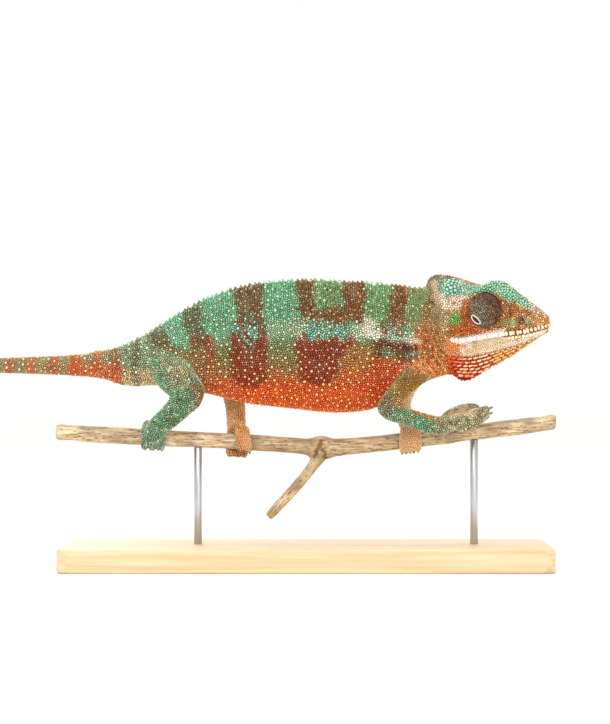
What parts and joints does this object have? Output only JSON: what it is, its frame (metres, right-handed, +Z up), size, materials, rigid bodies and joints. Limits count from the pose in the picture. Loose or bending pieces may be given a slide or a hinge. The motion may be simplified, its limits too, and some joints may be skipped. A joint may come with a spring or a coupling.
{
  "type": "panther chameleon model",
  "caption": "Life-size still model of an adult male panther chameleon stepping along a dry stem, held over a flat wooden base by rods.",
  "frame": {"origin": "middle of the wooden base's underside, on the table", "axes": "+Z up; +X the way the animal faces; its right side faces -Y"},
  "size_m": [0.3485, 0.0958, 0.1469],
  "materials": {
    "cane": "dry stem, straw and grey-brown, fine lengthways cracks",
    "claw": "translucent grey-brown horn, polished",
    "cornea": "wet, glossy, dark",
    "scaly_skin_body": "granular scales, satin, banded turquoise green, olive, brown and red",
    "scaly_skin_eyelid": "very fine granules in rings, matt",
    "scaly_skin_foot": "fine granular scales, satin",
    "scaly_skin_head": "scaly plates and granules, satin",
    "scaly_skin_leg": "granular scales, satin",
    "scaly_skin_tail": "granular scales, satin, banded olive, orange and brown",
    "steel_rod": "brushed along its length",
    "wood_base": "pale maple, sanded and oiled"
  },
  "bodies": {
    "root": {"claw_fore_left_inner_1": "claw", "claw_fore_left_inner_2": "claw", "claw_fore_left_inner_3": "claw", "claw_fore_left_outer_1": "claw", "claw_fore_left_outer_2": "claw", "claw_fore_right_inner_1": "claw", "claw_fore_right_inner_2": "claw", "claw_fore_right_inner_3": "claw", "claw_fore_right_outer_1": "claw", "claw_fore_right_outer_2": "claw", "claw_hind_left_inner_1": "claw", "claw_hind_left_inner_2": "claw", "claw_hind_left_outer_1": "claw", "claw_hind_left_outer_2": "claw", "claw_hind_left_outer_3": "claw", "claw_hind_right_inner_1": "claw", "claw_hind_right_inner_2": "claw", "claw_hind_right_outer_1": "claw", "claw_hind_right_outer_2": "claw", "claw_hind_right_outer_3": "claw", "eye_turret_left": "scaly_skin_eyelid", "eye_turret_right": "scaly_skin_eyelid", "eyeball_left": "cornea", "eyeball_right": "cornea", "fore_left_inner_toes": "scaly_skin_foot", "fore_left_lower": "scaly_skin_leg", "fore_left_outer_toes": "scaly_skin_foot", "fore_left_upper": "scaly_skin_leg", "fore_right_inner_toes": "scaly_skin_foot", "fore_right_lower": "scaly_skin_leg", "fore_right_outer_toes": "scaly_skin_foot", "fore_right_upper": "scaly_skin_leg", "head": "scaly_skin_head", "hind_left_inner_toes": "scaly_skin_foot", "hind_left_lower": "scaly_skin_leg", "hind_left_outer_toes": "scaly_skin_foot", "hind_left_upper": "scaly_skin_leg", "hind_right_inner_toes": "scaly_skin_foot", "hind_right_lower": "scaly_skin_leg", "hind_right_outer_toes": "scaly_skin_foot", "hind_right_upper": "scaly_skin_leg", "lower_jaw": "scaly_skin_head", "neck": "scaly_skin_body", "perch": "cane", "stand_base": "wood_base", "stand_rod_front": "steel_rod", "stand_rod_rear": "steel_rod", "tail_base": "scaly_skin_tail", "tail_curl": "scaly_skin_tail", "tail_end": "scaly_skin_tail", "tail_middle": "scaly_skin_tail", "tail_tip": "scaly_skin_tail", "throat": "scaly_skin_head", "trunk": "scaly_skin_body"}
  },
  "joints": []
}
